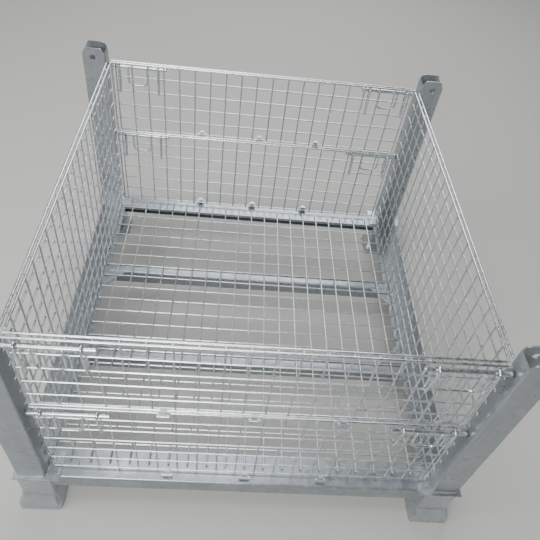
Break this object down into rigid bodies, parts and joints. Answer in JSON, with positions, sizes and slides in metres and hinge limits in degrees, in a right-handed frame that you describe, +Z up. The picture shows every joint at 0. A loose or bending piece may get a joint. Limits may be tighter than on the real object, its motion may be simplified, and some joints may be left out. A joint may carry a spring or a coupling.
{
  "type": "wire mesh container",
  "caption": "Stackable galvanised mesh container with channel posts, flared feet, fork entry and two folding half-height gates on slide bolts.",
  "frame": {"origin": "on the ground under the centre of the container", "axes": "+X to the right seen from the front gate, +Y from the front gate to the rear gate, +Z up"},
  "size_m": [1.184, 1.172, 0.76],
  "materials": {
    "mesh_wire": "hot-dip galvanised drawn wire",
    "drawn_rod": "hot-dip galvanised rod",
    "hinge_pin": "zinc-plated",
    "hinge_plate": "hot-dip galvanised plate",
    "post_sheet": "hot-dip galvanised folded sheet with spangle",
    "foot_sheet": "hot-dip galvanised pressed sheet",
    "base_sheet": "hot-dip galvanised folded sheet, weathered"
  },
  "bodies": {
    "base": {"front_beam": "base_sheet", "rear_beam": "base_sheet", "left_beam": "base_sheet", "right_beam": "base_sheet", "front_cross_member": "base_sheet", "rear_cross_member": "base_sheet", "gussets": "base_sheet", "foot_plates": "foot_sheet", "floor_mesh": "mesh_wire", "front_left_foot": "foot_sheet", "front_right_foot": "foot_sheet", "rear_left_foot": "foot_sheet", "rear_right_foot": "foot_sheet", "front_left_post": "post_sheet", "front_right_post": "post_sheet", "rear_left_post": "post_sheet", "rear_right_post": "post_sheet", "left_side_mesh": "mesh_wire", "right_side_mesh": "mesh_wire", "left_side_rim": "drawn_rod", "right_side_rim": "drawn_rod", "front_base_hinge_lugs": "hinge_plate", "front_base_hinge_pins": "hinge_pin", "rear_base_hinge_lugs": "hinge_plate", "rear_base_hinge_pins": "hinge_pin"},
    "front_lower_gate": {"front_lower_mesh": "mesh_wire", "front_lower_frame": "drawn_rod", "front_lower_guides": "drawn_rod", "front_lower_knuckles": "hinge_plate", "front_fold_hinge_lugs": "hinge_plate", "front_fold_hinge_pins": "hinge_pin"},
    "front_upper_gate": {"front_upper_mesh": "mesh_wire", "front_upper_frame": "drawn_rod", "front_upper_guides": "drawn_rod", "front_upper_knuckles": "hinge_plate"},
    "front_lower_left_bolt": {"front_lower_left_bolt": "drawn_rod"},
    "front_lower_right_bolt": {"front_lower_right_bolt": "drawn_rod"},
    "front_upper_left_bolt": {"front_upper_left_bolt": "drawn_rod"},
    "front_upper_right_bolt": {"front_upper_right_bolt": "drawn_rod"},
    "rear_lower_gate": {"rear_lower_mesh": "mesh_wire", "rear_lower_frame": "drawn_rod", "rear_lower_guides": "drawn_rod", "rear_lower_knuckles": "hinge_plate", "rear_fold_hinge_lugs": "hinge_plate", "rear_fold_hinge_pins": "hinge_pin"},
    "rear_upper_gate": {"rear_upper_mesh": "mesh_wire", "rear_upper_frame": "drawn_rod", "rear_upper_guides": "drawn_rod", "rear_upper_knuckles": "hinge_plate"},
    "rear_lower_left_bolt": {"rear_lower_left_bolt": "drawn_rod"},
    "rear_lower_right_bolt": {"rear_lower_right_bolt": "drawn_rod"},
    "rear_upper_left_bolt": {"rear_upper_left_bolt": "drawn_rod"},
    "rear_upper_right_bolt": {"rear_upper_right_bolt": "drawn_rod"}
  },
  "joints": [
    {"name": "front_lower_gate_hinge", "type": "hinge", "parent": "base", "child": "front_lower_gate", "pos_m": [0, -0.546, 0.163], "axis": [1, 0, 0], "range_deg": [0, 100]},
    {"name": "front_upper_gate_hinge", "type": "hinge", "parent": "front_lower_gate", "child": "front_upper_gate", "pos_m": [0, -0.545, 0.467], "axis": [1, 0, 0], "range_deg": [0, 180]},
    {"name": "front_lower_left_bolt_slide", "type": "slide", "parent": "front_lower_gate", "child": "front_lower_left_bolt", "axis": [-1, 0, 0], "range_m": [0, 0.019]},
    {"name": "front_lower_right_bolt_slide", "type": "slide", "parent": "front_lower_gate", "child": "front_lower_right_bolt", "axis": [1, 0, 0], "range_m": [0, 0.019]},
    {"name": "front_upper_left_bolt_slide", "type": "slide", "parent": "front_upper_gate", "child": "front_upper_left_bolt", "axis": [-1, 0, 0], "range_m": [0, 0.019]},
    {"name": "front_upper_right_bolt_slide", "type": "slide", "parent": "front_upper_gate", "child": "front_upper_right_bolt", "axis": [1, 0, 0], "range_m": [0, 0.019]},
    {"name": "rear_lower_gate_hinge", "type": "hinge", "parent": "base", "child": "rear_lower_gate", "pos_m": [0, 0.546, 0.163], "axis": [-1, 0, 0], "range_deg": [0, 100]},
    {"name": "rear_upper_gate_hinge", "type": "hinge", "parent": "rear_lower_gate", "child": "rear_upper_gate", "pos_m": [0, 0.545, 0.467], "axis": [-1, 0, 0], "range_deg": [0, 180]},
    {"name": "rear_lower_left_bolt_slide", "type": "slide", "parent": "rear_lower_gate", "child": "rear_lower_left_bolt", "axis": [-1, 0, 0], "range_m": [0, 0.019]},
    {"name": "rear_lower_right_bolt_slide", "type": "slide", "parent": "rear_lower_gate", "child": "rear_lower_right_bolt", "axis": [1, 0, 0], "range_m": [0, 0.019]},
    {"name": "rear_upper_left_bolt_slide", "type": "slide", "parent": "rear_upper_gate", "child": "rear_upper_left_bolt", "axis": [-1, 0, 0], "range_m": [0, 0.019]},
    {"name": "rear_upper_right_bolt_slide", "type": "slide", "parent": "rear_upper_gate", "child": "rear_upper_right_bolt", "axis": [1, 0, 0], "range_m": [0, 0.019]}
  ]
}
